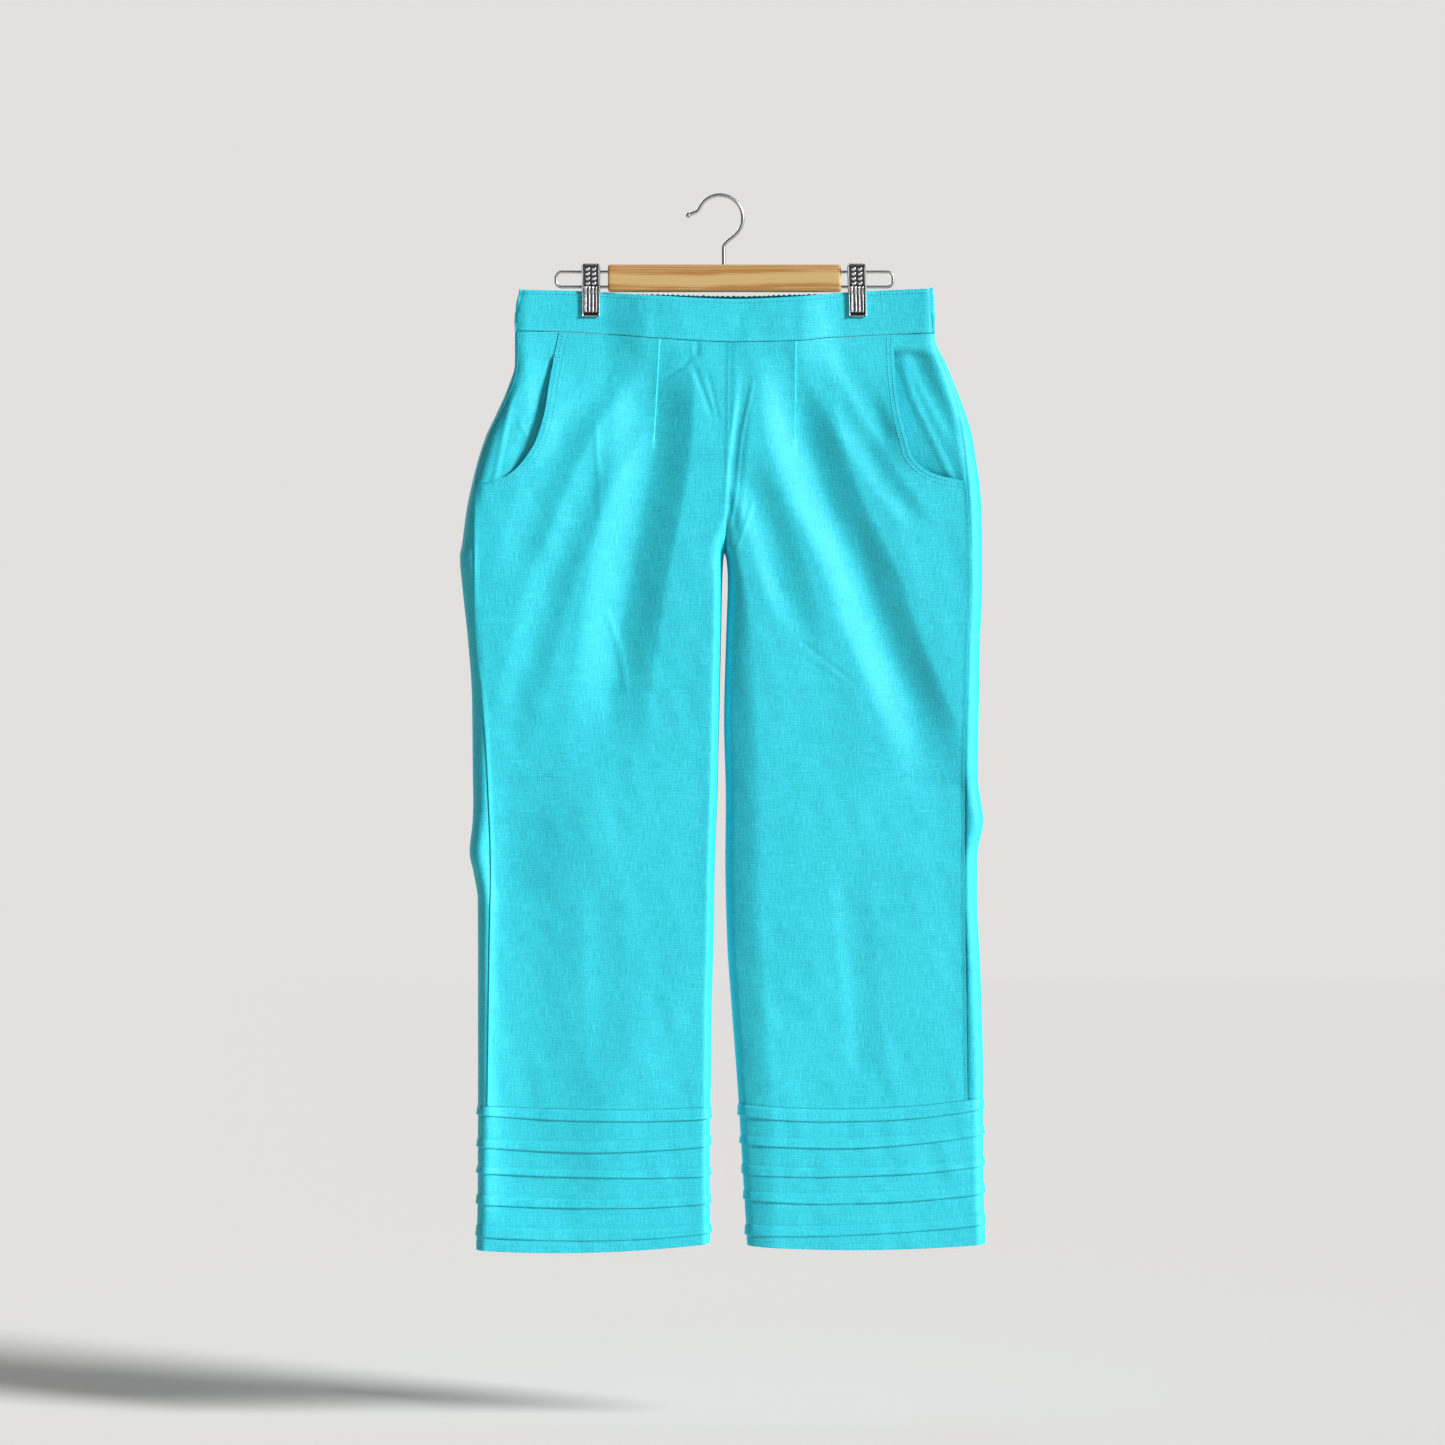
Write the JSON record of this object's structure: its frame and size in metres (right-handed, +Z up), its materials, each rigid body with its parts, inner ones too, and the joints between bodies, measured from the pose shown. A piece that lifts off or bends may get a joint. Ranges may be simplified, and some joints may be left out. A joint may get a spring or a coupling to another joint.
{
  "type": "elasticated trousers on a clip hanger",
  "caption": "Wide ankle-length linen trousers with a gathered elastic back waist, curved slant pockets and tucked hem bands, hung by the waistband from a wooden clip hanger.",
  "frame": {"origin": "the point under the hook's top where it bears on a rod", "axes": "+Z up, the front of the trousers faces -Y, +X to the right as seen from the front"},
  "size_m": [0.5156, 0.0563, 1.0369],
  "materials": {
    "cloth": "turquoise plain-weave linen with small slubs",
    "wood": "satin pale pine with orange-brown grain",
    "wire": "dull zinc-plated wire",
    "chrome": "bright plated sheet metal"
  },
  "bodies": {
    "root": {"waistband_front": "cloth", "waistband_back": "cloth", "front_leg_left": "cloth", "front_leg_right": "cloth", "back_leg_left": "cloth", "back_leg_right": "cloth", "pocket_facing_left": "cloth", "pocket_facing_right": "cloth", "hem_band_left": "cloth", "hem_band_right": "cloth", "hanger_bar": "wood", "hanger_hook": "wire", "clip_wire_left": "wire", "clip_wire_right": "wire", "clip_front_plate_left": "chrome", "clip_front_plate_right": "chrome", "clip_back_plate_left": "chrome", "clip_back_plate_right": "chrome", "clip_sleeve_left": "chrome", "clip_sleeve_right": "chrome"}
  },
  "joints": []
}
